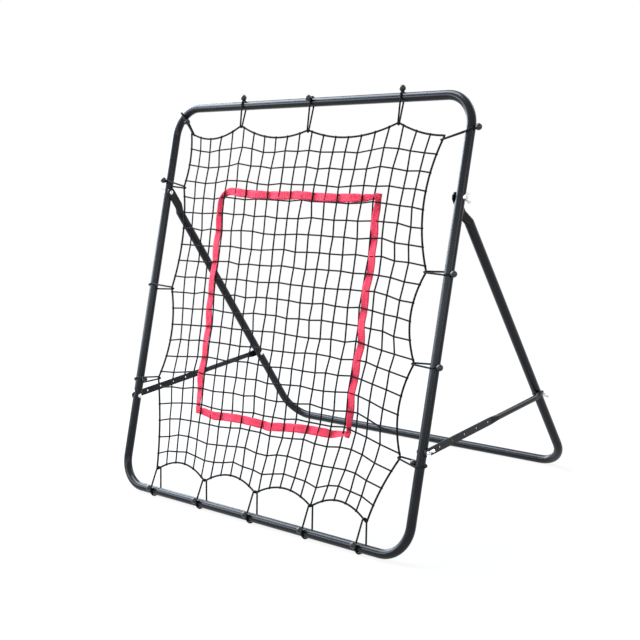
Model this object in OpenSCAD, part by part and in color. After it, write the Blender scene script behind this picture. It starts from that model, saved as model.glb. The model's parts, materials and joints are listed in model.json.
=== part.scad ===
// Pitch back rebounder: a leaning tube frame that holds a square mesh net on
// elastic ball loops, with a folding rear leg and two drilled struts.
// X runs across the net, Y from the thrower's side to the back, Z up.
// The origin is on the ground, at the middle of the whole outline.

/* [Frame tubes] */
// Width of the frame, between the centre lines of its sides
frame_w = 1100; // [1000:10:1200]
// Height of the frame along its slope, between the centre lines of its ends
frame_h = 1165; // [1100:5:1260]
// Outside diameter of the frame and leg tubes
tube_d = 25; // [22:1:28]
// Wall of the frame and leg tubes
tube_wall = 1.2; // [1:0.1:1.8]
// Bend radius at the tubes' centre line
bend_r = 84; // [70:2:110]
// Reach of the top tube's arms, from its centre line to their ends
top_arm = 284; // [240:2:320]
// Reach of the bottom tube's arms, from its centre line to their ends
bottom_arm = 294; // [260:2:330]
// Length of the swaged neck that a side tube pushes into an arm
neck_l = 45; // [38:1:70]
// Distance of each joint bolt from the end of its arm
joint_inset = 24; // [18:1:30]

/* [Stance] */
// Lean of the frame from upright, in degrees
frame_lean = 20.9; // [18:0.1:24]
// Lean of the leg from upright, in degrees
leg_lean = 27.3; // [24:0.1:30]

/* [Rear leg] */
// Distance of the strut bolts down the leg from its pivot
strut_drop = 671; // [620:1:700]
// Width of the flattened lug at the top of each leg tube
lug_w = 28; // [26:1:34]
// Thickness of that lug
lug_t = 3; // [2.4:0.2:4]
// Flat length of the lug below its bolt
lug_flat = 52; // [46:1:58]
// Length over which the lug swells into the round tube
lug_swell = 22; // [18:1:30]

/* [Struts] */
// Outside diameter of the strut tubes
strut_d = 16; // [12:0.5:17]
// Wall of the strut tubes
strut_wall = 1; // [0.8:0.1:1.4]
// Width of a strut where it is pressed flat
strut_flat_w = 21; // [18:0.5:24]
// Thickness of a strut where it is pressed flat
strut_flat_t = 2.8; // [2.2:0.2:3.4]
// Adjusting holes in each strut
hole_count = 6; // [4:1:7]
// Distance from one adjusting hole to the next
hole_pitch = 53; // [40:1:56]

/* [Bolts and wing nuts] */
// Diameter of the bolts
bolt_d = 6; // [5:0.5:8]
// Diameter of the domed bolt heads
head_d = 13; // [11:0.5:15]
// Height of the bolt heads
head_h = 3.6; // [2.8:0.2:5]
// Diameter of a wing nut's boss
boss_d = 12; // [11:0.5:14]
// Height of a wing nut's boss
boss_h = 7; // [6:0.5:9]
// Span of a wing nut across its wings
wing_span = 30; // [26:1:34]
// Height of a wing nut to the tips of its wings
wing_h = 17; // [15:0.5:20]
// Thickness of the wings
wing_t = 2.6; // [2:0.2:3.4]

/* [Net and ribbon] */
// Thickness of the net's twine
twine_d = 2.6; // [2:0.2:3.2]
// Diameter of the rope along the net's edge
rope_d = 5; // [4:0.5:6]
// Meshes across the net
mesh_across = 15; // [13:1:16]
// Meshes up the net
mesh_up = 18; // [15:1:18]
// Width of the target ribbon
ribbon_w = 27; // [22:1:32]
// Thickness of the target ribbon
ribbon_t = 1; // [0.8:0.1:1.6]
// Share of the net between its edge and the middle of the ribbon
ribbon_share = 0.175; // [0.14:0.005:0.2]

/* [Elastic loops] */
// Diameter of the elastic cord
elastic_d = 3.6; // [3:0.2:4.4]
// Diameter of the balls
ball_d = 16; // [14:0.5:17]
// Height at which the bottom tube stands on its squashed loops
loop_squash = 3; // [2.6:0.1:3.4]
// Distance between a loop's two strands at the tube
loop_spread = 9; // [7:0.5:11]

/* [Hidden] */
$fn = 64;

// Clearances
seat_gap = 0.3;
pin_gap = 0.05;
slip_gap = 0.15;
cord_gap = 0.2;
join_eps = 0.02;
hull_fn = 32;
hull_cover = 1.01;

// Tubes
tube_r = tube_d / 2;
leg_x = frame_w / 2 - lug_t - seat_gap;
side_l = frame_h - top_arm - bottom_arm - 2 * seat_gap;
neck_d = tube_d - 2 * tube_wall - 2 * slip_gap;
bolt_r = bolt_d / 2;
bolt_hole_r = bolt_r + pin_gap;
pivot_s = frame_h - top_arm + joint_inset;
front_bolt_s = bottom_arm - joint_inset;

// Places in the side view, measured from the bottom tube's centre line
tube_up = [sin(frame_lean), cos(frame_lean)];
floor_drop = tube_r + loop_squash;
pivot_yz = pivot_s * tube_up;
leg_down = [sin(leg_lean), -cos(leg_lean)];
leg_l = (pivot_yz[1] + floor_drop - tube_r) / cos(leg_lean);
front_bolt_yz = front_bolt_s * tube_up;
rear_bolt_yz = pivot_yz + strut_drop * leg_down;
rear_bar_yz = pivot_yz + leg_l * leg_down;
strut_l = norm(rear_bolt_yz - front_bolt_yz);
strut_rise = atan2(rear_bolt_yz[1] - front_bolt_yz[1], rear_bolt_yz[0] - front_bolt_yz[0]);

// Struts, measured along each one from its rear bolt
strut_x = frame_w / 2 + tube_r + seat_gap + strut_flat_t / 2;
strut_lug_x = leg_x + tube_r + seat_gap + strut_flat_t / 2;
last_hole = strut_l - (hole_count - 1) * hole_pitch;
flat_past = 12;
flat_end = last_hole - flat_past;
swell_l = 30;
rear_flat = 22;
rear_swell = 20;
strut_plug = 4;

// Elastic loops: the cord's path clears the tube and the rope at every chord
elastic_r = elastic_d / 2;
ball_r = ball_d / 2;
wrap_steps = 8;
hook_steps = 4;
wrap_half_step = 12;
hook_half_step = 20;
wrap_r = (tube_r + elastic_r + cord_gap) / cos(wrap_half_step);
border_d = rope_d + cord_gap + twine_d;
hook_r = (border_d / 2 + elastic_r + cord_gap) / cos(hook_half_step);
ball_over = wrap_r + elastic_r + cord_gap + ball_r;
ball_inside = tube_r + seat_gap + ball_r;
front_ball_turn = 105;
inside_turn = 150;

// The outline's middle, so that the origin is below it
ball_reach = ball_over * (sin(front_ball_turn) * tube_up[1] + cos(front_ball_turn) * tube_up[0]) + ball_r;
frame_y = -(rear_bar_yz[0] + tube_r - ball_reach) / 2;

// Ties at the net's corners: distance in from the side and from the end
tie_top_left = [68, 76];
tie_top_right = [76, 103];
tie_bottom_left = [141, 62];
tie_bottom_right = [139, 66];
// Ties between the corners: share along the edge, distance in from the tube
ties_top = [[0.256, 58], [0.502, 78], [0.791, 66]];
ties_bottom = [[0.320, 64], [0.508, 68], [0.697, 71]];
ties_left = [[0.208, 70], [0.475, 84], [0.712, 85]];
ties_right = [[0.386, 70], [0.585, 65], [0.789, 64]];
// Places up the side tubes of the loops that keep clear of the joint bolts and the struts
tie_over_pivot = 28;
tie_over_strut = 48;
tie_under_strut = 33;
tie_under_bend = 90;
// How far the edge sags inwards between one tie and the next
sag_top = [28, 28, 29, 9];
sag_bottom = [36, 33, 31, 35];
sag_left = [12, 22, 29, 9];
sag_right = [37, 31, 28, 9];
// A corner's loop holds the rope at this share of the first mesh
corner_share = 0.2;
// The uneven pull of the ties on the ribbon's corners, clockwise from the top left
ribbon_pull = [[-5, 2], [-7, 6], [19, 32], [6, 15]];
// The scallops die away quickly at first and slowly further in
fade_share = 0.55;
fade_quick = 0.03;
fade_slow = 0.3;

function unit(v) = v / norm(v);
function lerp(a, b, t) = a + (b - a) * t;

// Corners of the net in the frame's plane: across, up the slope
corner_tl = [-frame_w / 2 + tie_top_left[0], frame_h - tie_top_left[1]];
corner_tr = [frame_w / 2 - tie_top_right[0], frame_h - tie_top_right[1]];
corner_bl = [-frame_w / 2 + tie_bottom_left[0], tie_bottom_left[1]];
corner_br = [frame_w / 2 - tie_bottom_right[0], tie_bottom_right[1]];

// Each edge as a row of ties
row_top = concat([corner_tl], [for (t = ties_top) [(t[0] - 0.5) * frame_w, frame_h - t[1]]], [corner_tr]);
row_bottom = concat([corner_bl], [for (t = ties_bottom) [(t[0] - 0.5) * frame_w, t[1]]], [corner_br]);
row_left = concat([corner_tl], [for (t = ties_left) [-frame_w / 2 + t[1], (1 - t[0]) * frame_h]], [corner_bl]);
row_right = concat([corner_tr], [for (t = ties_right) [frame_w / 2 - t[1], (1 - t[0]) * frame_h]], [corner_br]);

// Point of an edge at a share of its run: axis 0 runs across, axis 1 up
function edge_span(row, axis, at) = len([for (k = [1:len(row) - 2])
    if ((at - row[k][axis]) * (row[len(row) - 1][axis] - row[0][axis]) > 0) k]);
function edge_point(row, sag, axis, inward, share) =
    let (at = lerp(row[0][axis], row[len(row) - 1][axis], share))
    let (k = edge_span(row, axis, at))
    let (q = (at - row[k][axis]) / (row[k + 1][axis] - row[k][axis]))
    let (side = lerp(row[k][1 - axis], row[k + 1][1 - axis], q) + inward * sag[k] * 4 * q * (1 - q))
    axis == 0 ? [at, side] : [side, at];

// How much of an edge's scallops is left at a share of the way to the other edge
function fade(a) = fade_share * exp(-a / fade_quick) + (1 - fade_share) * exp(-a / fade_slow) * (1 - a);
// How much of a ribbon corner's pull is felt at a share of the way to the other edge
function pulled(a) = a < ribbon_share ? a / ribbon_share
    : max(0, 1 - ribbon_share - a) / (1 - 2 * ribbon_share);
// A point of the net, from its top left corner
function net_point(u, v) =
    let (top = edge_point(row_top, sag_top, 0, -1, u))
    let (bottom = edge_point(row_bottom, sag_bottom, 0, 1, u))
    let (left = edge_point(row_left, sag_left, 1, 1, v))
    let (right = edge_point(row_right, sag_right, 1, -1, v))
    let (flat_top = lerp(corner_tl, corner_tr, u), flat_bottom = lerp(corner_bl, corner_br, u))
    let (flat_left = lerp(corner_tl, corner_bl, v), flat_right = lerp(corner_tr, corner_br, v))
    lerp(flat_top, flat_bottom, v) + fade(v) * (top - flat_top) + fade(1 - v) * (bottom - flat_bottom)
    + fade(u) * (left - flat_left) + fade(1 - u) * (right - flat_right)
    + pulled(v) * (pulled(u) * ribbon_pull[0] + pulled(1 - u) * ribbon_pull[1])
    + pulled(1 - v) * (pulled(1 - u) * ribbon_pull[2] + pulled(u) * ribbon_pull[3]);

// The rope's line, clockwise from the top left: mesh corners and the ties between them
function ties_in(row, axis, i, count) = [for (k = [1:3])
    let (share = (row[k][axis] - row[0][axis]) / (row[4][axis] - row[0][axis]))
    if (share > i / count && share < (i + 1) / count) row[k]];
rope_line = concat(
    [for (i = [0:mesh_across - 1]) each concat([net_point(i / mesh_across, 0)],
        ties_in(row_top, 0, i, mesh_across))],
    [for (j = [0:mesh_up - 1]) each concat([net_point(1, j / mesh_up)],
        ties_in(row_right, 1, j, mesh_up))],
    [for (i = [mesh_across:-1:1]) each concat([net_point(i / mesh_across, 1)],
        ties_in(row_bottom, 0, i - 1, mesh_across))],
    [for (j = [mesh_up:-1:1]) each concat([net_point(0, j / mesh_up)],
        ties_in(row_left, 1, j - 1, mesh_up))]);

// A clockwise outline moved inwards
function inset(line, by) = let (n = len(line)) [for (k = [0:n - 1])
    let (back = unit(line[k] - line[(k + n - 1) % n]), ahead = unit(line[(k + 1) % n] - line[k]))
    let (along = unit(back + ahead))
    line[k] + by / (along * ahead) * [along[1], -along[0]]];

// One mesh's gap between its twines; at the net's edge it runs on past the border
edge_past = 12;
function side_of(i, count) = i == 0 ? -1 : i == count ? 1 : 0;
function knot(i, j) = net_point(i / mesh_across, j / mesh_up)
    + edge_past * [side_of(i, mesh_across), -side_of(j, mesh_up)];
function mesh_gap(i, j) = inset([knot(i, j), knot(i + 1, j), knot(i + 1, j + 1), knot(i, j + 1)], twine_d / 2);

// Placing: the frame's own plane, the leg's and a strut's
module in_frame() {
    translate([0, frame_y, floor_drop]) rotate([-frame_lean, 0, 0]) children();
}
module in_leg() {
    translate([0, frame_y + pivot_yz[0], floor_drop + pivot_yz[1]]) rotate([leg_lean, 0, 0]) children();
}
module in_strut() {
    translate([0, frame_y + rear_bolt_yz[0], floor_drop + rear_bolt_yz[1]])
        rotate([strut_rise, 0, 0]) children();
}

// A round bar along X, from one place to another
module bar_x(from, to, r) {
    translate([from, 0, 0]) rotate([0, 90, 0]) cylinder(h = to - from, r = r);
}

// A tube bent to a U in the XZ plane: its run lies on X, its arms stand up
module u_tube(width, arm) {
    ring_r = tube_r - tube_wall;
    translate([-(width / 2 - bend_r), 0, 0]) rotate([0, 90, 0]) linear_extrude(width - 2 * bend_r)
        difference() {
            circle(tube_r);
            circle(ring_r);
        }
    for (side = [-1, 1]) {
        translate([side * (width / 2 - bend_r), 0, bend_r]) rotate([90, 0, 0])
            rotate([0, 0, side > 0 ? -90 : 180]) rotate_extrude(angle = 90) translate([bend_r, 0])
                difference() {
                    circle(tube_r);
                    circle(ring_r);
                }
        translate([side * width / 2, 0, bend_r]) linear_extrude(arm - bend_r)
            difference() {
                circle(tube_r);
                circle(ring_r);
            }
    }
}

// The two cross holes of a U's joint bolts
module joint_holes(arm) {
    translate([0, 0, arm - joint_inset]) bar_x(-frame_w / 2 - tube_d, frame_w / 2 + tube_d, bolt_hole_r);
}

module top_tube() {
    color([0.09, 0.09, 0.1]) in_frame() translate([0, 0, frame_h]) mirror([0, 0, 1]) difference() {
        u_tube(frame_w, top_arm);
        joint_holes(top_arm);
    }
}

module bottom_tube() {
    color([0.09, 0.09, 0.1]) in_frame() difference() {
        u_tube(frame_w, bottom_arm);
        joint_holes(bottom_arm);
    }
}

// A straight side tube: its necks slip into the arms and share their bolts
module side_tube(side) {
    neck_wall = tube_wall;
    color([0.09, 0.09, 0.1]) in_frame() translate([side * frame_w / 2, 0, bottom_arm + seat_gap]) difference() {
        union() {
            cylinder(h = side_l, d = tube_d);
            translate([0, 0, -neck_l]) cylinder(h = side_l + 2 * neck_l, d = neck_d);
        }
        translate([0, 0, -neck_l - 1]) cylinder(h = side_l + 2 * neck_l + 2, d = neck_d - 2 * neck_wall);
        for (z = [-joint_inset - seat_gap, side_l + seat_gap + joint_inset])
            translate([0, 0, z]) bar_x(-tube_d, tube_d, bolt_hole_r);
    }
}

// One flattened leg top: lug, bolt hole and the swell into the round tube
module leg_top() {
    lug_x = -(tube_r - lug_t / 2);
    difference() {
        union() {
            translate([lug_x - lug_t / 2, 0, 0]) rotate([0, 90, 0]) cylinder(h = lug_t, d = lug_w);
            translate([lug_x - lug_t / 2, -lug_w / 2, -lug_flat]) cube([lug_t, lug_w, lug_flat]);
        }
        bar_x(-tube_d, tube_d, bolt_hole_r);
    }
    hull() {
        translate([lug_x - lug_t / 2, -lug_w / 2, -lug_flat - join_eps]) cube([lug_t, lug_w, join_eps]);
        translate([0, 0, -lug_flat - lug_swell - join_eps])
            cylinder(h = join_eps, r = tube_r * hull_cover, $fn = hull_fn);
    }
}

module rear_leg() {
    arm_l = leg_l - lug_flat - lug_swell;
    color([0.08, 0.08, 0.09]) in_leg() difference() {
        union() {
            translate([0, 0, -leg_l]) u_tube(2 * leg_x, arm_l);
            translate([leg_x, 0, 0]) leg_top();
            translate([-leg_x, 0, 0]) mirror([1, 0, 0]) leg_top();
        }
        translate([0, 0, -strut_drop]) bar_x(-frame_w, frame_w, bolt_hole_r);
    }
}

// A strut on the right-hand side, along -Y from its rear bolt
module strut() {
    color([0.07, 0.07, 0.08]) in_strut() difference() {
        union() {
            translate([strut_x - strut_flat_t / 2, -strut_l, -strut_flat_w / 2])
                cube([strut_flat_t, strut_l - flat_end, strut_flat_w]);
            translate([strut_x - strut_flat_t / 2, -strut_l, 0]) rotate([0, 90, 0])
                cylinder(h = strut_flat_t, d = strut_flat_w);
            hull() {
                translate([strut_x - strut_flat_t / 2, -flat_end, -strut_flat_w / 2])
                    cube([strut_flat_t, join_eps, strut_flat_w]);
                translate([strut_x, -flat_end + swell_l + join_eps, 0]) rotate([90, 0, 0])
                    cylinder(h = join_eps, d = strut_d * hull_cover, $fn = hull_fn);
            }
            translate([strut_x, -rear_flat - rear_swell, 0]) rotate([90, 0, 0]) difference() {
                cylinder(h = flat_end - swell_l - rear_flat - rear_swell, d = strut_d);
                translate([0, 0, strut_plug])
                    cylinder(h = flat_end - swell_l - rear_flat - rear_swell - 2 * strut_plug,
                        d = strut_d - 2 * strut_wall);
            }
            hull() {
                translate([strut_lug_x - strut_flat_t / 2, -rear_flat - join_eps, -strut_flat_w / 2])
                    cube([strut_flat_t, join_eps, strut_flat_w]);
                translate([strut_x, -rear_flat - rear_swell, 0]) rotate([90, 0, 0])
                    cylinder(h = join_eps, d = strut_d * hull_cover, $fn = hull_fn);
            }
            translate([strut_lug_x - strut_flat_t / 2, -rear_flat, -strut_flat_w / 2])
                cube([strut_flat_t, rear_flat, strut_flat_w]);
            translate([strut_lug_x - strut_flat_t / 2, 0, 0]) rotate([0, 90, 0])
                cylinder(h = strut_flat_t, d = strut_flat_w);
        }
        for (k = [0:hole_count - 1])
            translate([0, -strut_l + k * hole_pitch, 0]) bar_x(frame_w / 2, frame_w, bolt_hole_r);
        bar_x(frame_w / 2, frame_w, bolt_hole_r);
    }
}

// A bolt on the right-hand side: a domed head inside, its end outside
module bolt(head_x, end_x) {
    dome_r = (head_d * head_d / 4 + head_h * head_h) / (2 * head_h);
    bar_x(head_x, end_x, bolt_r);
    intersection() {
        translate([head_x - head_h + dome_r, 0, 0]) sphere(r = dome_r);
        bar_x(head_x - head_h, head_x, head_d);
    }
}

// A wing nut whose seat is at x = 0: a boss and two rounded wings
module wing_nut() {
    tip_r = 4.5;
    root_x = 1.5;
    root_in = 2;
    root_out = 0.6;
    back = [-2.2, 3.9];
    front = [3.2, -3.2];
    tip = [wing_h - tip_r, wing_span / 2 - tip_r];
    difference() {
        union() {
            bar_x(0, boss_h, boss_d / 2);
            for (side = [-1, 1])
                rotate([90, 0, 0]) translate([0, 0, -wing_t / 2]) linear_extrude(wing_t) scale([1, side]) {
                    translate(tip) circle(tip_r);
                    polygon([[root_x, boss_d / 2 - root_in], [root_x, boss_d / 2 + root_out], tip + back,
                        tip + front, [boss_h - root_out, boss_d / 2 - root_in]]);
                }
        }
        bar_x(-1, wing_h + 1, bolt_hole_r);
    }
}

// Places across the frame, outwards from the centre line of a side
nut_on_tube = tube_r + pin_gap;
strut_outer = tube_r + seat_gap + strut_flat_t;
nut_on_strut = strut_outer + seat_gap;
rear_nut_x = strut_lug_x + strut_flat_t / 2 + seat_gap;
end_past_nut = 2;

module on_both_sides() {
    children();
    mirror([1, 0, 0]) children();
}

module pivot_bolts() {
    color([0.78, 0.79, 0.8]) in_frame() on_both_sides() translate([frame_w / 2, 0, pivot_s])
        bolt(-tube_r - lug_t - 2 * seat_gap, nut_on_tube + boss_h + end_past_nut);
}

// The linkage is opened here: each bolt leaves the strut's own thickness free
module front_strut_bolts() {
    color([0.78, 0.79, 0.8]) in_frame() on_both_sides() translate([frame_w / 2, 0, front_bolt_s]) {
        bolt(-tube_r, tube_r);
        bar_x(strut_outer + seat_gap / 2, nut_on_strut + boss_h + end_past_nut, bolt_r);
    }
}

module rear_strut_bolts() {
    color([0.78, 0.79, 0.8]) in_strut() on_both_sides()
        bolt(leg_x - tube_r, rear_nut_x + boss_h + end_past_nut);
}

module pivot_nut(side) {
    color([0.82, 0.83, 0.84]) in_frame() translate([side * (frame_w / 2 + nut_on_tube), 0, pivot_s])
        mirror([side < 0 ? 1 : 0, 0, 0]) rotate([25, 0, 0]) wing_nut();
}

module front_nut(side) {
    color([0.82, 0.83, 0.84]) in_frame() translate([side * (frame_w / 2 + nut_on_strut), 0, front_bolt_s])
        mirror([side < 0 ? 1 : 0, 0, 0]) rotate([-35, 0, 0]) wing_nut();
}

module rear_nut(side) {
    color([0.82, 0.83, 0.84]) in_strut() translate([side * rear_nut_x, 0, 0])
        mirror([side < 0 ? 1 : 0, 0, 0]) rotate([50, 0, 0]) wing_nut();
}

// The net: one flat sheet of twine with its gaps cut through
module net() {
    border = rope_d / 2 + cord_gap;
    color([0.12, 0.12, 0.13]) in_frame() rotate([90, 0, 0]) translate([0, 0, -twine_d / 2])
        linear_extrude(twine_d) {
            difference() {
                polygon(inset(rope_line, border));
                polygon(inset(rope_line, border + twine_d));
            }
            difference() {
                polygon(inset(rope_line, border + twine_d / 2));
                for (i = [0:mesh_across - 1]) for (j = [0:mesh_up - 1]) polygon(mesh_gap(i, j));
            }
        }
}

// A closed cord through points in space, with its rings squared to one direction
module cord_loop(points, r, up, sides = 6) {
    n = len(points);
    rings = [for (k = [0:n - 1])
        let (back = unit(points[k] - points[(k + n - 1) % n]), ahead = unit(points[(k + 1) % n] - points[k]))
        let (along = unit(back + ahead))
        let (across = unit(cross(along, up)))
        let (over = unit(cross(across, along)))
        let (mitre = 1 / max(0.6, along * ahead))
        for (s = [0:sides - 1]) points[k] + r * mitre * cos(360 * s / sides) * across
            + r * sin(360 * s / sides) * over];
    walls = [for (k = [0:n - 1]) for (s = [0:sides - 1])
        let (a = k * sides + s, b = k * sides + (s + 1) % sides)
        let (c = ((k + 1) % n) * sides + (s + 1) % sides, d = ((k + 1) % n) * sides + s)
        each [[a, b, c], [a, c, d]]];
    polyhedron(rings, walls);
}

module edge_rope() {
    color([0.1, 0.1, 0.11]) in_frame()
        cord_loop([for (p = rope_line) [p[0], 0, p[1]]], rope_d / 2, [0, 1, 0]);
}

// The ribbon's four runs, just in front of the twine
module target_ribbon() {
    s = ribbon_share;
    corners = [net_point(s, s), net_point(1 - s, s), net_point(1 - s, 1 - s), net_point(s, 1 - s)];
    out = [[-1, 1], [1, 1], [1, -1], [-1, -1]];
    color([0.93, 0.25, 0.38]) in_frame() rotate([90, 0, 0]) translate([0, 0, twine_d / 2 + seat_gap])
        linear_extrude(ribbon_t) difference() {
            polygon([for (k = [0:3]) corners[k] + out[k] * ribbon_w / 2]);
            polygon([for (k = [0:3]) corners[k] - out[k] * ribbon_w / 2]);
        }
}

// A loop's path round the tube and the rope, as [towards the net, to the front, along the tube]
function loop_path(reach, wrap, hook) =
    let (slant = asin((wrap - hook) / reach))
    concat(
        [for (k = [0:wrap_steps]) let (turn = lerp(-90 - slant, 90 + slant, k / wrap_steps))
            [-wrap * cos(turn), wrap * sin(turn), loop_spread / 2 * turn / 90]],
        [for (k = [0:hook_steps]) let (turn = lerp(90 - slant, slant - 90, k / hook_steps))
            [reach + hook * cos(turn), hook * sin(turn), elastic_r * turn / 90]]);

// One elastic loop from a place on a tube to a place on the rope, both in the frame's plane
module elastic_loop(hold) {
    from = hold[0];
    gap = hold[1] - from;
    reach = norm(gap) + hold[3] * (cord_gap + twine_d) / 2;
    h = unit(gap);
    path = [for (p = loop_path(reach, wrap_r * hold[2], hook_r * hold[3]))
        [from[0] + h[0] * p[0] - h[1] * p[2], -p[1], from[1] + h[1] * p[0] + h[0] * p[2]]];
    cord_loop(path, elastic_r, [-h[1], 0, h[0]]);
}

// A ball on its loop: turned about the tube from the outside to the front
module ball(hold, turn) {
    from = hold[0];
    h = unit(hold[1] - from);
    inside = turn > inside_turn;
    over = inside ? ball_inside * hold[2] : ball_over + wrap_r * (hold[2] - 1);
    along = inside ? 0 : loop_spread / 2 * turn / 90;
    translate([from[0] - h[0] * over * cos(turn) - h[1] * along, -over * sin(turn),
        from[1] - h[1] * over * cos(turn) + h[0] * along]) sphere(r = ball_r);
}

// Where each loop holds the tube and the rope, and how much wider it is there
side_x = frame_w / 2;
bend_mid = [-side_x + bend_r * (1 - cos(45)), frame_h - bend_r * (1 - cos(45))];
near_tl = lerp(corner_tl, net_point(1 / mesh_across, 0), corner_share);
near_tr = lerp(corner_tr, net_point(1, 1 / mesh_up), corner_share);
near_bl = lerp(corner_bl, net_point(1 / mesh_across, 1), corner_share);
near_br = lerp(corner_br, net_point(1 - 1 / mesh_across, 1), corner_share);
hook_wide = 1.08;
bend_wide = 1.03;
// A loop that meets a tube or the rope at a slant goes round it more widely
function slant(way, across) = 1 / abs(way * across);
function rope_across(hook, corner) = let (rope = unit(hook - corner)) [rope[1], -rope[0]];
function corner_hold(tube, hook, corner, wrap_wide) =
    [tube, hook, wrap_wide, hook_wide * slant(unit(hook - tube), rope_across(hook, corner))];
function tube_hold(tube, hook, across) =
    let (wide = slant(unit(hook - tube), across))
    [tube, hook, wide, hook_wide * wide];
holds_top = concat([corner_hold(bend_mid, near_tl, corner_tl, bend_wide)],
    [for (k = [1:3]) tube_hold([row_top[k][0], frame_h], row_top[k], [0, 1])]);
places_right = [row_right[1][1], row_right[2][1], front_bolt_s - tie_under_strut];
holds_right = concat([corner_hold([side_x, frame_h - tie_under_bend], near_tr, corner_tr, bend_wide)],
    [for (k = [1:3]) tube_hold([side_x, places_right[k - 1]], row_right[k], [1, 0])]);
places_left = [pivot_s + tie_over_pivot, row_left[2][1], front_bolt_s + tie_over_strut];
holds_left = [for (k = [1:3]) tube_hold([-side_x, places_left[k - 1]], row_left[k], [1, 0])];
holds_bottom = concat([corner_hold([near_bl[0], 0], near_bl, corner_bl, 1)],
    [for (k = [1:3]) tube_hold([row_bottom[k][0], 0], row_bottom[k], [0, 1])],
    [corner_hold([near_br[0], 0], near_br, corner_br, 1)]);
// How far each ball is turned about its tube, from the outside towards the front
turns_top = [180, 20, 75, 15];
turns_right = [0, 25, 25, 180];
turns_left = [80, -40, 180];
turns_bottom = [for (hold = holds_bottom) front_ball_turn];

module loops(holds) {
    color([0.11, 0.11, 0.12]) in_frame() for (hold = holds) elastic_loop(hold);
}
module balls(holds, turns) {
    color([0.05, 0.05, 0.055]) in_frame() for (k = [0:len(holds) - 1])
        ball(holds[k], turns[k]);
}

// The bottom loops carry the frame, so the ground presses them flat
module bottom_loops() {
    difference() {
        loops(holds_bottom);
        translate([-frame_w, frame_y - frame_w, -tube_d]) cube([2 * frame_w, 2 * frame_w, tube_d]);
    }
}

top_tube();
bottom_tube();
side_tube(-1);  // side_tube_left
side_tube(1);  // side_tube_right
rear_leg();
mirror([1, 0, 0]) strut();  // strut_left
strut();  // strut_right
pivot_bolts();
front_strut_bolts();
rear_strut_bolts();
pivot_nut(-1);  // pivot_nut_left
pivot_nut(1);  // pivot_nut_right
front_nut(-1);  // front_nut_left
front_nut(1);  // front_nut_right
rear_nut(-1);  // rear_nut_left
rear_nut(1);  // rear_nut_right
net();
edge_rope();
target_ribbon();
loops(holds_top);  // top_loops
loops(holds_left);  // left_loops
loops(holds_right);  // right_loops
bottom_loops();
balls(holds_top, turns_top);  // top_balls
balls(holds_left, turns_left);  // left_balls
balls(holds_right, turns_right);  // right_balls
balls(holds_bottom, turns_bottom);  // bottom_balls
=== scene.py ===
import json
import math
import random

import bmesh
import bpy
from mathutils import Matrix, Vector


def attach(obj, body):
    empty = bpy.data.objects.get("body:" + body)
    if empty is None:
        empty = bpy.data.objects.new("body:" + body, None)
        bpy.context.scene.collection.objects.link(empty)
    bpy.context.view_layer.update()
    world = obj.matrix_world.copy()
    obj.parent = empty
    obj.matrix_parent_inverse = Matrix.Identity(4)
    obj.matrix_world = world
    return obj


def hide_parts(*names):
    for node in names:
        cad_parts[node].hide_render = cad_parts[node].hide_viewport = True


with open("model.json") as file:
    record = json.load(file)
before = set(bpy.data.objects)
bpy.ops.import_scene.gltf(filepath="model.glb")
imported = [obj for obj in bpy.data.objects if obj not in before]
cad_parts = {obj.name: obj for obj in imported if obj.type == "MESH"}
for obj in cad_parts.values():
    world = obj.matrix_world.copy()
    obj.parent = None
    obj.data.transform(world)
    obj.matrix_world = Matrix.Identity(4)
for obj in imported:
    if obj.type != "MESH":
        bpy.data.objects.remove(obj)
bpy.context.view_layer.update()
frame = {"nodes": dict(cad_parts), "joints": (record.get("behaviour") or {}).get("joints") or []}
nodes = frame["nodes"]
joints = {joint["name"]: joint for joint in frame["joints"]}
print("frame loaded:", len(nodes), "nodes")


# where things are: metres, in the frame's own plane
frameSpec = {
    "width": 1.1,           # between the side tubes' centre lines
    "height": 1.165,        # between the top and bottom tubes, up the slope
    "tube": 0.025,
    "bend": 0.084,
    "lean": math.radians(20.9),
    "pivotUp": 0.905,       # pivot bolts, up the slope
    "axisHeight": 0.0155,   # bottom tube's centre line above the ground
}
leanSin, leanCos = math.sin(frameSpec["lean"]), math.cos(frameSpec["lean"])
frameY = joints["leg_fold"]["pos_m"][1] - frameSpec["pivotUp"] * leanSin
tubeR = frameSpec["tube"] / 2
halfWidth = frameSpec["width"] / 2


def inFrame(x, up, back=0.0):
    return Vector((x, frameY + up * leanSin + back * leanCos,
                   frameSpec["axisHeight"] + up * leanCos - back * leanSin))


def mix(a, b, t):
    return a + (b - a) * t


# sums on sockets, and one way to add any other node
class Wire:
    def __init__(self, graph, node, out=0):
        self.graph, self.node = graph, node
        self.socket = node.outputs[out] if node.outputs else None

    def at(self, out):
        return Wire(self.graph, self.node, out)

    def math(self, operation, *others):
        return self.graph.add("ShaderNodeMath", {"operation": operation}, dict(enumerate((self,) + others)))

    def __add__(self, other):
        return self.math("ADD", other)

    def __sub__(self, other):
        return self.math("SUBTRACT", other)

    def __mul__(self, other):
        return self.math("MULTIPLY", other)

    def __radd__(self, other):
        return self.math("ADD", other)

    def __rmul__(self, other):
        return self.math("MULTIPLY", other)

    def __rsub__(self, other):
        return self.graph.add("ShaderNodeMath", {"operation": "SUBTRACT"}, {0: other, 1: self})

    def sin(self):
        return self.math("SINE")

    def above(self, edge):
        return self.math("GREATER_THAN", edge)


class Graph:
    def __init__(self, tree):
        self.tree = tree

    def add(self, kind, settings=None, values=None, out=0):
        node = self.tree.nodes.new(kind)
        for key, value in (settings or {}).items():
            setattr(node, key, value)
        for key, value in (values or {}).items():
            socket = node.inputs[key]
            if isinstance(value, Wire):
                self.tree.links.new(value.socket, socket)
            else:
                socket.default_value = value
        return Wire(self, node, out)


def tint(graph, amount, first, second):
    return graph.add("ShaderNodeMix", {"data_type": "RGBA"}, {0: amount, 6: first, 7: second}, 2)


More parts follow.
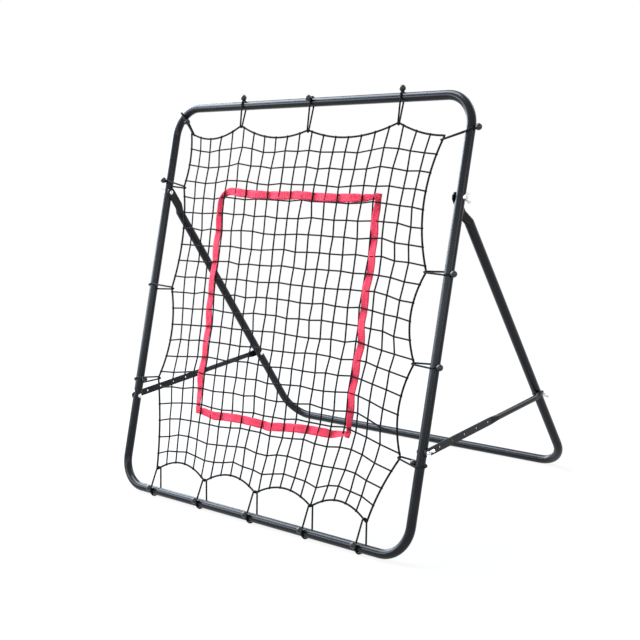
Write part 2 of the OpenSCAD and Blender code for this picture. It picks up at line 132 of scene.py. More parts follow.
def grey(level):
    return (level, level, level, 1)


def newMaterial(name, **constants):
    material = bpy.data.materials.new(name)
    material.use_nodes = True
    material.node_tree.nodes.clear()
    graph = Graph(material.node_tree)
    shader = graph.add("ShaderNodeBsdfPrincipled", {}, constants)
    graph.add("ShaderNodeOutputMaterial", {}, {"Surface": shader})
    return material, graph, shader.node


def feed(graph, shader, **links):
    for key, wire in links.items():
        graph.tree.links.new(wire.socket, shader.inputs[key.replace("_", " ")])


def bumpFrom(graph, height, distance, strength=1.0):
    return graph.add("ShaderNodeBump", {}, {"Strength": strength, "Distance": distance, "Height": height})


def noise(graph, scale, detail):
    place = graph.add("ShaderNodeTexCoord").at("Object")
    return graph.add("ShaderNodeTexNoise", {}, {"Vector": place, "Scale": scale, "Detail": detail})


# the roughness, a little lower or higher in patches
def patchy(spec, patches):
    return spec["roughness"] - spec["glossier"] + spec["duller"] * patches


# scales are cells per metre, depths are metres
coatSpec = {
    "base": (0.0035, 0.0038, 0.0046, 1),
    "worn": (0.010, 0.011, 0.014, 1),
    "strutLift": 1.15,      # how much lighter the struts are
    "roughness": 0.23,
    "glossier": 0.06,       # how far the roughness drops below that in places
    "duller": 0.14,         # and how far it climbs from there
    "shine": 0.26,          # specular level
    "sheen": (0.86, 0.92, 1.0, 1),
    "peelScale": 620,       # orange peel
    "peelDepth": 0.00004,
    "cloudScale": 14,       # broad patches
    "rubScale": 130,        # small rubbed marks
    "rubSharp": 2.2,
    "rubMuch": 1.8,
}


def powderCoat(name, lift=1.0):
    base = tuple(c * lift for c in coatSpec["base"][:3]) + (1,)
    worn = tuple(c * lift for c in coatSpec["worn"][:3]) + (1,)
    material, graph, shader = newMaterial(name, **{
        "Base Color": base, "Roughness": coatSpec["roughness"], "IOR": 1.5,
        "Specular IOR Level": coatSpec["shine"], "Specular Tint": coatSpec["sheen"]})
    peel = noise(graph, coatSpec["peelScale"], 1.5)
    cloud = noise(graph, coatSpec["cloudScale"], 3)
    rub = noise(graph, coatSpec["rubScale"], 4)
    rubbed = (cloud * rub).math("POWER", coatSpec["rubSharp"]) * coatSpec["rubMuch"]
    feed(graph, shader, Base_Color=tint(graph, rubbed, base, worn), Roughness=patchy(coatSpec, cloud),
         Normal=bumpFrom(graph, peel, coatSpec["peelDepth"], 0.3))
    return material


zincSpec = {
    "bolt": {"colour": (0.74, 0.75, 0.77, 1), "roughness": 0.24, "glossier": 0.08, "duller": 0.2,
             "grain": 900, "depth": 0.00003},
    "nut": {"colour": (0.76, 0.77, 0.79, 1), "roughness": 0.34, "glossier": 0.08, "duller": 0.2,
            "grain": 700, "depth": 0.00008},
    "patchScale": 90,
}


def zinc(name, kind):
    spec = zincSpec[kind]
    material, graph, shader = newMaterial(name, **{
        "Base Color": spec["colour"], "Metallic": 1.0, "Roughness": spec["roughness"]})
    patches = noise(graph, zincSpec["patchScale"], 2)
    feed(graph, shader, Roughness=patchy(spec, patches),
         Normal=bumpFrom(graph, noise(graph, spec["grain"], 3), spec["depth"], 0.5))
    return material


# lay: metres along the cord for one turn of a strand
cordSpec = {
    "dark": (0.004, 0.004, 0.0045, 1),
    "grooveShade": 0.35,       # painted shade: how much darker the grooves between the strands are drawn than their crests
    "fluffScale": 1500,
    "fluffDepth": 0.3,
    "twine": {"light": (0.016, 0.016, 0.018, 1), "roughness": 0.75,
              "lay": 0.006, "braid": False, "depth": 0.0003},
    "rope": {"light": (0.018, 0.018, 0.020, 1), "roughness": 0.72,
             "lay": 0.009, "braid": True, "depth": 0.0005},
    "elastic": {"light": (0.020, 0.020, 0.023, 1), "roughness": 0.62,
                "lay": 0.005, "braid": True, "depth": 0.0004},
}


def cordFinish(name, kind):
    spec = cordSpec[kind]
    material, graph, shader = newMaterial(name, **{
        "Base Color": cordSpec["dark"], "Roughness": spec["roughness"], "Specular IOR Level": 0.1})
    along = graph.add("ShaderNodeAttribute", {"attribute_name": "along"}, {}, "Fac")
    around = graph.add("ShaderNodeAttribute", {"attribute_name": "around"}, {}, "Fac")
    turn = along * (math.tau / spec["lay"])
    strands = (turn + around * math.tau * 2).sin()
    if spec["braid"]:
        strands = strands.math("MAXIMUM", (turn - around * math.tau * 2).sin())
    fluff = noise(graph, cordSpec["fluffScale"], 2)
    # painted light and shade that follow the bump: lighter on the strands' crests and raised fluff, darker
    # in the grooves
    reliefShading = (strands * cordSpec["grooveShade"] + 0.5) * fluff
    height = strands * 0.5 + fluff * cordSpec["fluffDepth"]
    feed(graph, shader, Base_Color=tint(graph, reliefShading, cordSpec["dark"], spec["light"]),
         Normal=bumpFrom(graph, height, spec["depth"], 0.7))
    return material


ribbonSpec = {
    "width": 0.0245,
    "thick": 0.0011,
    "colour": (0.84, 0.052, 0.110, 1),
    "shade": (0.72, 0.020, 0.045, 1),
    "rib": 0.0016,          # weft ribs, metres apart
    "ribDepth": 0.00018,
    "selvage": 0.0016,      # the darker woven edge
    "soilScale": 22,
    # how much of the darker colour there is everywhere, and how much more comes from each
    "dark": 0.22,
    "ribDark": 0.12,
    "warpDark": 0.10,
    "edgeDark": 0.25,
    "soilDark": 0.35,
    "share": 0.175,         # middle of the ribbon's runs, as a share of the net
    # at each end of a run: how narrow it is drawn, how far it twists in degrees
    "ends": {"top": ((0.66, -34), (0.62, -38)), "right": ((0.70, 30), (0.50, 48)),
             "bottom": ((0.60, -34), (0.86, 12)), "left": ((0.86, 10), (0.66, -34))},
    "roundCorner": 0.036,   # the top left corner isn't folded: it turns this wide, as a share of the net
    "overrun": 0.029697,    # how much longer a run is than its side, so that the corners close
    "lift": 0.0014,         # how far the runs lie in front of each other at the corners
    "liftReach": 1 / 14,    # share of a run over which it comes to that
    "weave": 0.0021,        # how far it swings in front of the twine and behind it
    "pinch": 0.05,          # how much narrower it is where a strand crosses it
    "waver": 0.06,          # how far it tips on the way, radians
    "crown": 0.0009,        # how far its middle stands out
    "endReach": 0.16,       # share of a run over which it narrows
    "bottomBow": 0.010,     # how far the bottom run hangs down in its middle
    "steps": 140,           # along each run
    "strips": 4,            # across it
}


def webbing(name):
    material, graph, shader = newMaterial(name, **{
        "Base Color": ribbonSpec["colour"], "Roughness": 0.7, "Specular IOR Level": 0.2})
    uv = graph.add("ShaderNodeUVMap", {"uv_map": "ribbonUv"})
    parts = graph.add("ShaderNodeSeparateXYZ", {}, {"Vector": uv})
    along, across = parts.at("X"), parts.at("Y")
    ribs = (along * (math.tau / ribbonSpec["rib"])).sin()
    warp = (across * (math.tau / ribbonSpec["rib"] * 0.8) + ribs.math("SIGN") * 1.5).sin()
    middle = ribbonSpec["width"] / 2
    edge = (across - middle).math("ABSOLUTE").above(middle - ribbonSpec["selvage"])
    soil = noise(graph, ribbonSpec["soilScale"], 3)
    dark = ribs * ribbonSpec["ribDark"] + warp * ribbonSpec["warpDark"] + ribbonSpec["dark"]
    dark = dark + edge * ribbonSpec["edgeDark"] + (soil - 0.5) * ribbonSpec["soilDark"]
    feed(graph, shader, Base_Color=tint(graph, dark, ribbonSpec["colour"], ribbonSpec["shade"]),
         Normal=bumpFrom(graph, ribs + warp * 0.8, ribbonSpec["ribDepth"], 0.8))
    return material


ballSpec = {
    "colour": (0.008, 0.008, 0.009, 1),
    "roughness": 0.22,
    "glossier": 0.08,
    "duller": 0.16,
    "grain": 2400,
    "grainDepth": 0.00004,
    "patchScale": 160,
    "size": 0.0178,
    "reach": 0.0325,        # from the tube's axis to the far side of a ball
    "holeR": 0.0026,        # where the cord goes in
    "lipR": 0.0040,
    "sides": 28,
    "rings": 19,
}


def mouldedPlastic(name):
    material, graph, shader = newMaterial(name, **{
        "Base Color": ballSpec["colour"], "Roughness": ballSpec["roughness"], "IOR": 1.48})
    patches = noise(graph, ballSpec["patchScale"], 3)
    feed(graph, shader, Roughness=patchy(ballSpec, patches),
         Normal=bumpFrom(graph, noise(graph, ballSpec["grain"], 1), ballSpec["grainDepth"], 0.5))
    return material


finishes = {
    "tube": powderCoat("frameCoat"),
    "strut": powderCoat("strutCoat", coatSpec["strutLift"]),
    "bolt": zinc("boltZinc", "bolt"),
    "nut": zinc("castZinc", "nut"),
    "twine": cordFinish("netTwine", "twine"),
    "rope": cordFinish("edgeRope", "rope"),
    "elastic": cordFinish("elasticCord", "elastic"),
    "ribbon": webbing("redWebbing"),
    "ball": mouldedPlastic("ballPlastic"),
}
print("finishes made:", len(finishes))


def dress(names, finish):
    for name in names:
        mesh = nodes[name].data
        mesh.materials.clear()
        mesh.materials.append(finishes[finish])


dress(["top_tube", "bottom_tube", "side_tube_left", "side_tube_right", "rear_leg"], "tube")
dress(["strut_left", "strut_right"], "strut")
dress(["pivot_bolts", "front_strut_bolts", "rear_strut_bolts"], "bolt")
dress([f"{place}_nut_{side}" for place in ("pivot", "front", "rear") for side in ("left", "right")], "nut")


# the net's outline: ties at the corners and between them
netSpec = {
    "across": 21,
    "up": 21,
    "twine": 0.0045,
    "knot": 0.0058,
    "rope": 0.0055,
    "lashing": 0.0086,      # where a mesh is tied to the rope
    "bow": 0.005,           # how far the middle hangs back out of the frame's plane
    "stray": 0.0032,        # how far a knot strays from its place
    "strayBack": 0.5,       # how much of that it strays out of the net's plane
    "seed": 11,
    "quickShare": 0.55,     # how much of the edge's scallops dies away quickly,
    "quickFade": 0.03,      # within this share of the net, and the rest within that
    "slowFade": 0.3,
    "ropeSteps": 8,         # points of the edge rope in each mesh
}
corners = {
    "topLeft": (-halfWidth + 0.068, frameSpec["height"] - 0.076),
    "topRight": (halfWidth - 0.076, frameSpec["height"] - 0.103),
    "bottomLeft": (-halfWidth + 0.141, 0.062),
    "bottomRight": (halfWidth - 0.139, 0.066),
}
tieShares = {
    "top": ((0.256, 0.058), (0.502, 0.078), (0.791, 0.066)),
    "bottom": ((0.320, 0.064), (0.508, 0.068), (0.697, 0.071)),
    "left": ((0.208, 0.070), (0.475, 0.084), (0.712, 0.085)),
    "right": ((0.386, 0.070), (0.585, 0.065), (0.789, 0.064)),
}
sags = {
    "top": (0.028, 0.028, 0.029, 0.009),
    "bottom": (0.036, 0.033, 0.031, 0.035),
    "left": (0.012, 0.022, 0.029, 0.009),
    "right": (0.037, 0.031, 0.028, 0.009),
}
# how the ties pull the ribbon's corners out of true, clockwise from the top left
ribbonPull = [Vector(pull) for pull in (
    (-0.005, 0.002), (-0.007, 0.006), (0.019, 0.032), (0.006, 0.015))]


def tieRow(edge):
    between = []
    for share, gap in tieShares[edge]:
        if edge in ("top", "bottom"):
            up = frameSpec["height"] - gap if edge == "top" else gap
            between.append(((share - 0.5) * frameSpec["width"], up))
        else:
            side = -halfWidth + gap if edge == "left" else halfWidth - gap
            between.append((side, (1 - share) * frameSpec["height"]))
    ends = {"top": ("topLeft", "topRight"), "bottom": ("bottomLeft", "bottomRight"),
            "left": ("topLeft", "bottomLeft"), "right": ("topRight", "bottomRight")}[edge]
    return [corners[ends[0]]] + between + [corners[ends[1]]]


rows = {edge: tieRow(edge) for edge in tieShares}
inwardWay = {"top": -1, "bottom": 1, "left": 1, "right": -1}


def edgePoint(edge, share):
    row, axis = rows[edge], 0 if edge in ("top", "bottom") else 1
    at = mix(row[0][axis], row[-1][axis], share)
    way = 1 if row[-1][axis] > row[0][axis] else -1
    span = 0
    while span < len(row) - 2 and (at - row[span + 1][axis]) * way > 0:
        span += 1
    q = (at - row[span][axis]) / (row[span + 1][axis] - row[span][axis])
    q = min(1.0, max(0.0, q))
    side = mix(row[span][1 - axis], row[span + 1][1 - axis], q)
    side += inwardWay[edge] * sags[edge][span] * 4 * q * (1 - q)
    return Vector((at, side)) if axis == 0 else Vector((side, at))


def fade(a):
    a = min(1.0, max(0.0, a))
    quick = netSpec["quickShare"]
    return (quick * math.exp(-a / netSpec["quickFade"])
            + (1 - quick) * math.exp(-a / netSpec["slowFade"]) * (1 - a))


def pulled(a):
    share = ribbonSpec["share"]
    return max(0.0, a / share if a < share else max(0.0, 1 - share - a) / (1 - 2 * share))


def netPoint(u, v):
    pull = (pulled(v) * (pulled(u) * ribbonPull[0] + pulled(1 - u) * ribbonPull[1])
            + pulled(1 - v) * (pulled(1 - u) * ribbonPull[2] + pulled(u) * ribbonPull[3]))
    flat = {"top": mix(Vector(corners["topLeft"]), Vector(corners["topRight"]), u),
            "bottom": mix(Vector(corners["bottomLeft"]), Vector(corners["bottomRight"]), u),
            "left": mix(Vector(corners["topLeft"]), Vector(corners["bottomLeft"]), v),
            "right": mix(Vector(corners["topRight"]), Vector(corners["bottomRight"]), v)}
    return (mix(flat["top"], flat["bottom"], v)
            + fade(v) * (edgePoint("top", u) - flat["top"])
            + fade(1 - v) * (edgePoint("bottom", u) - flat["bottom"])
            + fade(u) * (edgePoint("left", v) - flat["left"])
            + fade(1 - u) * (edgePoint("right", v) - flat["right"]) + pull)


def netBow(u, v):
    return netSpec["bow"] * math.sin(math.pi * u) * math.sin(math.pi * v)


def onNet(u, v, back=0.0):
    flat = netPoint(u, v)
    return inFrame(flat.x, flat.y, netBow(u, v) + back)


# a cord along a path, and knots where its points say so
def cordTree():
    tree = bpy.data.node_groups.new("cordAlongPath", "GeometryNodeTree")
    sockets = tree.interface
    sockets.new_socket("Geometry", in_out="INPUT", socket_type="NodeSocketGeometry")
    for name, kind, value in (("Radius", "NodeSocketFloat", 0.002),
                              ("Sides", "NodeSocketInt", 6),
                              ("Knot Radius", "NodeSocketFloat", 0.0),
                              ("Finish", "NodeSocketMaterial", None)):
        socket = sockets.new_socket(name, in_out="INPUT", socket_type=kind)
        if value is not None:
            socket.default_value = value
    sockets.new_socket("Geometry", in_out="OUTPUT", socket_type="NodeSocketGeometry")
    graph = Graph(tree)
    given = graph.add("NodeGroupInput")
    curve = graph.add("GeometryNodeMeshToCurve", {}, {"Mesh": given})
    length = graph.add("GeometryNodeSplineParameter").at("Length")
    curve = graph.add("GeometryNodeStoreNamedAttribute", {"data_type": "FLOAT", "domain": "POINT"}, {
        "Geometry": curve, "Name": "along", "Value": length})
    ring = graph.add("GeometryNodeCurvePrimitiveCircle", {}, {
        "Resolution": given.at("Sides"), "Radius": given.at("Radius")})
    factor = graph.add("GeometryNodeSplineParameter").at("Factor")
    ring = graph.add("GeometryNodeStoreNamedAttribute", {"data_type": "FLOAT", "domain": "POINT"}, {
        "Geometry": ring, "Name": "around", "Value": factor})
    cord = graph.add("GeometryNodeCurveToMesh", {}, {
        "Curve": curve, "Profile Curve": ring, "Fill Caps": True})
    ball = graph.add("GeometryNodeMeshIcoSphere", {}, {
        "Radius": given.at("Knot Radius"), "Subdivisions": 1})
    flag = graph.add("GeometryNodeInputNamedAttribute", {"data_type": "FLOAT"}, {"Name": "knot"})
    knots = graph.add("GeometryNodeInstanceOnPoints", {}, {
        "Points": given, "Selection": flag.above(0.5), "Instance": ball})
    joined = graph.add("GeometryNodeJoinGeometry")
    tree.links.new(cord.socket, joined.node.inputs[0])
    tree.links.new(knots.socket, joined.node.inputs[0])
    smooth = graph.add("GeometryNodeSetShadeSmooth", {}, {"Geometry": joined})
    real = graph.add("GeometryNodeRealizeInstances", {}, {"Geometry": smooth})
    done = graph.add("GeometryNodeSetMaterial", {}, {"Geometry": real, "Material": given.at("Finish")})
    graph.add("NodeGroupOutput", {}, {"Geometry": done})
    return tree


cordNodes = cordTree()


def pathMesh(name, paths, closed=False, knots=()):
    mesh = bpy.data.meshes.new(name)
    points, edges = [], []
    for path in paths:
        first = len(points)
        points += [tuple(p) for p in path]
        edges += [(k, k + 1) for k in range(first, len(points) - 1)]
        if closed:
            edges.append((len(points) - 1, first))
    flags = [0.0] * len(points) + [1.0] * len(knots)
    mesh.from_pydata(points + [tuple(p) for p in knots], edges, [])
    mark = mesh.attributes.new("knot", "FLOAT", "POINT")
    mark.data.foreach_set("value", flags)
    return mesh


def cordPiece(name, mesh, radius, sides, finish, knotRadius=0.0):
    source = bpy.data.objects.new(name + "Source", mesh)
    bpy.context.scene.collection.objects.link(source)
    modifier = source.modifiers.new("cord", "NODES")
    modifier.node_group = cordNodes
    values = {"Radius": radius, "Sides": sides, "Knot Radius": knotRadius, "Finish": finishes[finish]}
    for item in cordNodes.interface.items_tree:
        if item.in_out == "INPUT" and item.name in values:
            modifier[item.identifier] = values[item.name]
    depsgraph = bpy.context.evaluated_depsgraph_get()
    made = bpy.data.meshes.new_from_object(
        source.evaluated_get(depsgraph), preserve_all_data_layers=True, depsgraph=depsgraph)
    bpy.data.objects.remove(source)
    piece = bpy.data.objects.new(name, made)
    bpy.context.scene.collection.objects.link(piece)
    return piece


def settle(piece, body, replaced):
    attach(piece, body)
    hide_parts(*replaced)


random.seed(netSpec["seed"])
across, up = netSpec["across"], netSpec["up"]
strays = {(i, j): [random.uniform(-1, 1) * netSpec["stray"] for _ in range(3)]
          for i in range(1, across) for j in range(1, up)}


def knotAt(i, j):
    place = onNet(i / across, j / up)
    if (i, j) in strays:
        x, z, y = strays[i, j]
        place += Vector((x, y * netSpec["strayBack"], z))
    return place


strands = [[knotAt(i, j) for j in range(up + 1)] for i in range(1, across)]
strands += [[knotAt(i, j) for i in range(across + 1)] for j in range(1, up)]
knots = [knotAt(i, j) for i in range(1, across) for j in range(1, up)]
net = cordPiece("netting", pathMesh("netting", strands, knots=knots), netSpec["twine"] / 2, 6, "twine",
                netSpec["knot"] / 2)
settle(net, "front_frame", ["net"])

ropeSteps = netSpec["ropeSteps"]
ring = [onNet(k / (across * ropeSteps), 0) for k in range(across * ropeSteps)]
ring += [onNet(1, k / (up * ropeSteps)) for k in range(up * ropeSteps)]
ring += [onNet(1 - k / (across * ropeSteps), 1) for k in range(across * ropeSteps)]
ring += [onNet(0, 1 - k / (up * ropeSteps)) for k in range(up * ropeSteps)]
lashings = [onNet(u, v) for k in range(1, across) for u, v in ((k / across, 0), (k / across, 1))]
lashings += [onNet(u, v) for k in range(1, up) for u, v in ((0, k / up), (1, k / up))]
rope = cordPiece("netEdgeRope", pathMesh("netEdgeRope", [ring], closed=True, knots=lashings),
                 netSpec["rope"] / 2, 10, "rope", netSpec["lashing"] / 2)
settle(rope, "front_frame", ["edge_rope"])
print("net made:", len(knots), "knots")


def smooth(t):
    t = min(1.0, max(0.0, t))
    return t * t * (3 - 2 * t)


low, high = ribbonSpec["share"], 1 - ribbonSpec["share"]


# a place along a run, as shares of the net; the top run starts with the round corner
def alongRun(start, end, t, side):
    turn = ribbonSpec["roundCorner"]
    arc = turn * math.pi / 2 / (high - low)
    if side == "top" and t < arc:
        angle = math.pi / 2 * t / arc
        return start[0] + turn * (1 - math.cos(angle)), start[1] + turn * (1 - math.sin(angle))
    if side == "top":
        return mix(start[0] + turn, end[0], (t - arc) / (1 - arc)), start[1]
    return mix(start[0], end[0], t), mix(start[1], end[1], t)


# the run's middle line, with its width as a share and its twist at each step
def runLine(start, end, lift, side):
    ends, reach, steps = ribbonSpec["ends"][side], ribbonSpec["endReach"], ribbonSpec["steps"]
    line = []
    for k in range(steps + 1):
        t = k / steps
        close = [1 - smooth(t / reach), 1 - smooth((1 - t) / reach)]
        narrow = 1 - sum(near * (1 - share) for near, (share, _) in zip(close, ends))
        twist = sum(near * tip for near, (_, tip) in zip(close, ends))
        # each run goes on to the far edge of the next one, where it is folded over, but for the round corner
        joined = t < 0.5 if side == "top" else t > 0.5 and side == "left"
        if not joined:
            t += (t - 0.5) * ribbonSpec["overrun"]
        u, v = alongRun(start, end, t, side)
        phase = math.pi * (u * across if start[0] != end[0] else v * up)
        # a strand passes over the ribbon at every other crossing
        weave = ribbonSpec["weave"] * math.cos(phase)
        atCorner = 1 - min(1.0, min(abs(t), abs(t - 1)) / ribbonSpec["liftReach"])
        place = onNet(u, v, weave * (1 - atCorner) + (0 if joined else lift) * atCorner)
        if side == "bottom":
            hang = ribbonSpec["bottomBow"] * math.sin(math.pi * min(1, max(0, t)))
            place -= inFrame(0, hang) - inFrame(0, 0)
        line.append((place, narrow * (1 - ribbonSpec["pinch"] * math.cos(phase) ** 2),
                     math.radians(twist) + ribbonSpec["waver"] * math.sin(phase / 2)))
    return line


def ribbonRun(bm, uvLayer, start, end, lift, side):
    line = runLine(start, end, lift, side)
    width, strips = ribbonSpec["width"], ribbonSpec["strips"]
    normal = Vector((0, leanCos, -leanSin))
    length = 0.0
    rings = []
    for k, (place, share, twist) in enumerate(line):
        ahead = (line[min(k + 1, len(line) - 1)][0] - line[max(k - 1, 0)][0]).normalized()
        sideways = ahead.cross(normal).normalized()
        turned = sideways * math.cos(twist) + normal * math.sin(twist)
        length += (place - line[k - 1][0]).length if k else 0.0
        row = []
        for m in range(strips + 1):
            off = (m / strips - 0.5) * width * share
            crown = ribbonSpec["crown"] * (1 - (2 * m / strips - 1) ** 2)
            row.append((bm.verts.new(place + turned * off + normal * crown), length, m / strips * width))
        rings.append(row)
    for a, b in zip(rings, rings[1:]):
        for m in range(strips):
            quad = [a[m], b[m], b[m + 1], a[m + 1]]
            face = bm.faces.new([corner[0] for corner in quad])
            face.smooth = True
            for loop, corner in zip(face.loops, quad):
                loop[uvLayer].uv = (corner[1], corner[2])
    return rings


def makeRibbon():
    bm = bmesh.new()
    uvLayer = bm.loops.layers.uv.new("ribbonUv")
    lift, turn = ribbonSpec["lift"], ribbonSpec["roundCorner"]
    top = ribbonRun(bm, uvLayer, (low, low), (high, low), -lift, "top")
    ribbonRun(bm, uvLayer, (high, low), (high, high), lift, "right")
    ribbonRun(bm, uvLayer, (high, high), (low, high), -lift, "bottom")
    left = ribbonRun(bm, uvLayer, (low, high), (low, low + turn), lift, "left")
    # the left run and the top run are one band
    bmesh.ops.weld_verts(bm, targetmap={a[0]: b[0] for a, b in zip(left[-1], top[0])})
    mesh = bpy.data.meshes.new("targetRibbon")
    bm.to_mesh(mesh)
    bm.free()
    mesh.materials.append(finishes["ribbon"])
    piece = bpy.data.objects.new("targetRibbon", mesh)
    bpy.context.scene.collection.objects.link(piece)
    wall = piece.modifiers.new("thickness", "SOLIDIFY")
    wall.thickness = ribbonSpec["thick"]
    wall.offset = 0
    return piece


settle(makeRibbon(), "front_frame", ["target_ribbon"])
print("ribbon made")


loopSpec = {
    "cord": 0.0050,
    "spread": 0.011,        # along the tube, from the front side to the back
    "clear": 0.0003,
    "cornerShare": 0.2,     # where a corner's loop holds the rope, as a share of the first mesh
    "wraps": 22,            # points round the tube and round the rope
    "hooks": 10,
    # each ball's turn about its tube, degrees from the outside towards the front
    "turns": {"top": (180, 20, 75, 15), "right": (0, 25, 25, 180), "left": (80, -40, 180),
              "bottom": (105, 105, 105, 105, 105)},
    "insideFrom": 150,      # beyond this turn a ball lies against the inside of its tube
    "rightUp": 1.075,       # places on the side tubes, up the slope
    "rightLow": 0.237,
    "leftUp": 0.933,
    "leftLow": 0.318,
    "groundGap": 0.0003,
}
cordR = loopSpec["cord"] / 2
wrapR = tubeR + cordR + loopSpec["clear"]
hookR = netSpec["rope"] / 2 + cordR + loopSpec["clear"]


def alongEdge(first, second):
    return mix(Vector(first), Vector(second), loopSpec["cornerShare"])


bendInset = frameSpec["bend"] * (1 - math.cos(math.radians(45)))
nearTopLeft = alongEdge(corners["topLeft"], edgePoint("top", 1 / across))
nearTopRight = alongEdge(corners["topRight"], edgePoint("right", 1 / up))
nearBottomLeft = alongEdge(corners["bottomLeft"], edgePoint("bottom", 1 / across))
nearBottomRight = alongEdge(corners["bottomRight"], edgePoint("bottom", 1 - 1 / across))
height = frameSpec["height"]
sidePlaces = {"right": (rows["right"][1][1], rows["right"][2][1], loopSpec["rightLow"]),
              "left": (loopSpec["leftUp"], rows["left"][2][1], loopSpec["leftLow"])}
ties = {        # for each: place on the tube, place on the rope
    "top": [((-halfWidth + bendInset, height - bendInset), nearTopLeft)]
    + [((hook[0], height), hook) for hook in rows["top"][1:4]],
    "right": [((halfWidth, loopSpec["rightUp"]), nearTopRight)]
    + [((halfWidth, place), hook) for place, hook in zip(sidePlaces["right"], rows["right"][1:4])],
    "left": [((-halfWidth, place), hook) for place, hook in zip(sidePlaces["left"], rows["left"][1:4])],
    "bottom": [((hook[0], 0), hook) for hook in [nearBottomLeft] + rows["bottom"][1:4] + [nearBottomRight]],
}


def tieFrame(tube, hook):
    way = Vector(hook) - Vector(tube)
    reach = way.length
    way.normalize()
    return way, Vector((-way.y, way.x)), reach


def loopPath(tube, hook):
    way, side, reach = tieFrame(tube, hook)
    slant = math.asin((wrapR - hookR) / reach)
    wraps, hooks = loopSpec["wraps"], loopSpec["hooks"]
    path = []
    for k in range(wraps + 1):
        turn = mix(-math.pi / 2 - slant, math.pi / 2 + slant, k / wraps)
        path.append((-wrapR * math.cos(turn), wrapR * math.sin(turn), loopSpec["spread"] / math.pi * turn))
    for k in range(hooks + 1):
        turn = mix(math.pi / 2 - slant, slant - math.pi / 2, k / hooks)
        path.append((reach + hookR * math.cos(turn), hookR * math.sin(turn), cordR * turn / (math.pi / 2)))
    points = []
    for toward, front, along in path:
        flat = Vector(tube) + way * toward + side * along
        points.append(inFrame(flat.x, flat.y, -front))
    return points


def ballPlace(tube, hook, turn):
    way, side, _ = tieFrame(tube, hook)
    inside = turn > loopSpec["insideFrom"]
    ballR = ballSpec["size"] / 2
    over = tubeR + loopSpec["clear"] + ballR if inside else ballSpec["reach"] - ballR
    along = 0.0 if inside else loopSpec["spread"] / 180 * turn
    angle = math.radians(turn)
    flat = Vector(tube) - way * over * math.cos(angle) + side * along
    centre = inFrame(flat.x, flat.y, -over * math.sin(angle))
    axle = inFrame(tube[0], tube[1], 0)
    return centre, (centre - axle).normalized()


# a ball with a small lip round its hole, which faces the tube
def ballMesh(bm, centre, outward):
    r, sides = ballSpec["size"] / 2, ballSpec["sides"]
    holeZ, lipZ = -0.90 * r, -0.98 * r
    profile = [(ballSpec["holeR"], lipZ), (ballSpec["lipR"], holeZ)]
    for k in range(ballSpec["rings"]):
        angle = math.radians(mix(30, 174, k / (ballSpec["rings"] - 1)))
        profile.append((r * math.sin(angle), -r * math.cos(angle)))
    turn = outward.to_track_quat("Z", "Y").to_matrix()
    rings = []
    for radius, z in profile:
        rings.append([bm.verts.new(centre + turn @ Vector((
            radius * math.cos(math.tau * k / sides), radius * math.sin(math.tau * k / sides), z)))
            for k in range(sides)])
    poles = [bm.verts.new(centre + turn @ Vector((0, 0, z))) for z in (holeZ, r)]
    for a, b in zip(rings, rings[1:]):
        for k in range(sides):
            bm.faces.new((a[k], a[(k + 1) % sides], b[(k + 1) % sides], b[k])).smooth = True
    for k in range(sides):
        bm.faces.new((poles[0], rings[0][(k + 1) % sides], rings[0][k])).smooth = True
        bm.faces.new((poles[1], rings[-1][k], rings[-1][(k + 1) % sides])).smooth = True


for edge, holds in ties.items():
    paths = [loopPath(tube, hook) for tube, hook in holds]
    rings = pathMesh(edge + "Loops", paths, closed=True)
    loops = cordPiece(edge + "ElasticLoops", rings, cordR, 10, "elastic")
    for vertex in loops.data.vertices:      # the ground presses the cord flat under the tube
        vertex.co.z = max(vertex.co.z, loopSpec["groundGap"])
    settle(loops, "front_frame", [edge + "_loops"])
    bm = bmesh.new()
    for (tube, hook), turn in zip(holds, loopSpec["turns"][edge]):
        ballMesh(bm, *ballPlace(tube, hook, turn))
    mesh = bpy.data.meshes.new(edge + "LoopBalls")
    bmesh.ops.recalc_face_normals(bm, faces=bm.faces)
    bm.to_mesh(mesh)
    bm.free()
    mesh.materials.append(finishes["ball"])
    balls = bpy.data.objects.new(edge + "LoopBalls", mesh)
    bpy.context.scene.collection.objects.link(balls)
    settle(balls, "front_frame", [edge + "_balls"])
print("loops and balls made:", sum(len(holds) for holds in ties.values()))


roomSpec = {
    "floor": 0.8,
    "floorHalf": 14,
    "floorShare": 0.9,          # how much of the floor's look is plain white
    "shadowTo": (0.9, 2.2),     # from here to there, metres, the shadow fades out
    "sky": 0.12,                # strength of the sky's light on the object
}


def seenRays(graph):
    rays = graph.add("ShaderNodeLightPath")
    seen = rays.at("Is Camera Ray").math("MAXIMUM", rays.at("Is Glossy Ray"))
    return seen.math("MAXIMUM", rays.at("Is Transmission Ray"))


def makeFloor():
    size = roomSpec["floorHalf"]
    mesh = bpy.data.meshes.new("studioFloor")
    sheet = [(-size, -size, 0), (size, -size, 0), (size, size, 0), (-size, size, 0)]
    mesh.from_pydata(sheet, [], [(0, 1, 2, 3)])
    material = bpy.data.materials.new("paleFloor")
    material.use_nodes = True
    material.node_tree.nodes.clear()
    graph = Graph(material.node_tree)
    seen = seenRays(graph)
    # beyond the object's shadow the floor is plain white, so that no horizon shows
    place = graph.add("ShaderNodeTexCoord").at("Object")
    away = graph.add("ShaderNodeVectorMath", {"operation": "LENGTH"}, {0: place}, "Value")
    fadeOut = graph.add("ShaderNodeMapRange", {"interpolation_type": "SMOOTHSTEP"}, {
        "Value": away, "From Min": roomSpec["shadowTo"][0], "From Max": roomSpec["shadowTo"][1],
        "To Min": roomSpec["floorShare"], "To Max": 1.0})
    matt = graph.add("ShaderNodeBsdfDiffuse", {}, {"Color": grey(roomSpec["floor"])})
    glow = graph.add("ShaderNodeEmission", {}, {"Color": grey(1.0), "Strength": 1.0})
    both = graph.add("ShaderNodeMixShader", {}, {0: seen * fadeOut, 1: matt, 2: glow})
    graph.add("ShaderNodeOutputMaterial", {}, {"Surface": both})
    mesh.materials.append(material)
    floor = bpy.data.objects.new("studioFloor", mesh)
    bpy.context.scene.collection.objects.link(floor)


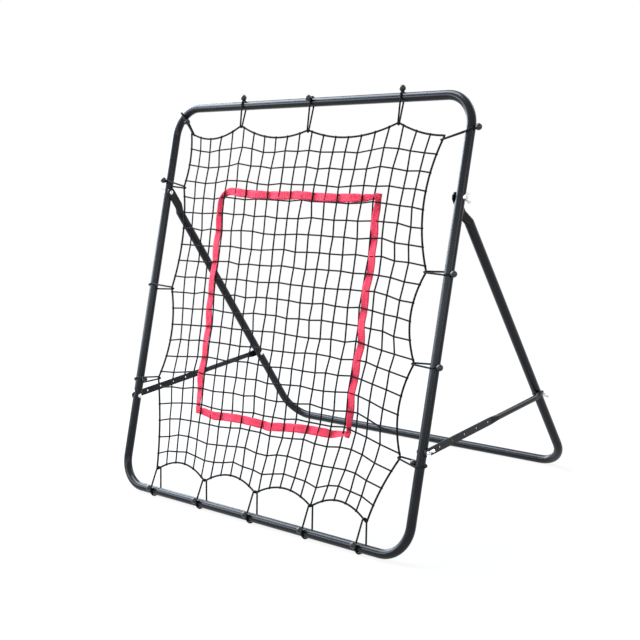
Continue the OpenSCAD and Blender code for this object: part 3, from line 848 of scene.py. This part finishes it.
def makeSky():
    world = bpy.data.worlds.new("studioSky")
    bpy.context.scene.world = world
    world.use_nodes = True
    world.node_tree.nodes.clear()
    graph = Graph(world.node_tree)
    strength = roomSpec["sky"] + seenRays(graph) * (1.0 - roomSpec["sky"])
    back = graph.add("ShaderNodeBackground", {}, {"Color": grey(1.0), "Strength": strength})
    graph.add("ShaderNodeOutputWorld", {}, {"Surface": back})


# place, aimed at, width and height in metres, watts, colour
lampSpec = {
    "overheadSoftbox": ((-2.3, -0.1, 3.4), (-0.2, 0, 0.7), (2.3, 5.4), 460, (0.80, 0.90, 1.0)),
    "cornerSoftbox": ((-3.5, -3.6, 2.3), (0, 0, 0.8), (2.4, 1.6), 105, (0.82, 0.91, 1.0)),
    "leftSoftbox": ((-4.1, 0.6, 1.6), (0, 0, 0.9), (5.0, 1.8), 190, (0.82, 0.91, 1.0)),
    "frontStrip": ((0.8, -4.2, 2.4), (0, 0, 0.7), (6.0, 0.8), 45, (0.94, 0.97, 1.0)),
    "rightStrip": ((4.6, -1.2, 1.6), (0, 0, 0.7), (3.5, 0.8), 32, (1, 1, 1)),
    "backSoftbox": ((0.6, 3.8, 2.5), (0, 0, 0.5), (3.0, 1.8), 50, (1, 1, 1)),
}


def makeLamp(name):
    place, target, size, watts, colour = lampSpec[name]
    lamp = bpy.data.lights.new(name, "AREA")
    lamp.shape = "RECTANGLE"
    lamp.size, lamp.size_y = size
    lamp.energy = watts
    lamp.color = colour
    holder = bpy.data.objects.new(name, lamp)
    holder.location = place
    holder.rotation_euler = (Vector(target) - Vector(place)).to_track_quat("-Z", "Y").to_euler()
    bpy.context.scene.collection.objects.link(holder)


makeFloor()
makeSky()
for name in lampSpec:
    makeLamp(name)

cameraSpec = {
    "place": (2.24486, -2.40951, 1.26469),
    "yaw": -0.76779,        # radians
    "pitch": 0.26242,
    "roll": -0.10109,
    "sensor": 36,
    "lens": 65.732906,      # millimetres
    "shift": (0.0224, 0.0599),
    "clipEnd": 60,          # metres
}


def makeCamera():
    data = bpy.data.cameras.new("camera")
    data.sensor_width = cameraSpec["sensor"]
    data.lens = cameraSpec["lens"]
    data.shift_x, data.shift_y = cameraSpec["shift"]
    data.clip_end = cameraSpec["clipEnd"]
    yaw, pitch, roll = (cameraSpec[key] for key in ("yaw", "pitch", "roll"))
    ahead = Vector((math.sin(yaw) * math.cos(pitch), math.cos(yaw) * math.cos(pitch), -math.sin(pitch)))
    right = Vector((math.cos(yaw), -math.sin(yaw), 0))
    above = right.cross(ahead)
    right, above = (right * math.cos(roll) + above * math.sin(roll),
                    above * math.cos(roll) - right * math.sin(roll))
    camera = bpy.data.objects.new("camera", data)
    turn = Matrix((right, above, -ahead)).transposed()
    camera.matrix_world = Matrix.Translation(cameraSpec["place"]) @ turn.to_4x4()
    bpy.context.scene.collection.objects.link(camera)
    bpy.context.scene.camera = camera


makeCamera()
bpy.context.scene.view_settings.view_transform = "Standard"
print("room, lights and camera made")

bpy.context.view_layer.update()
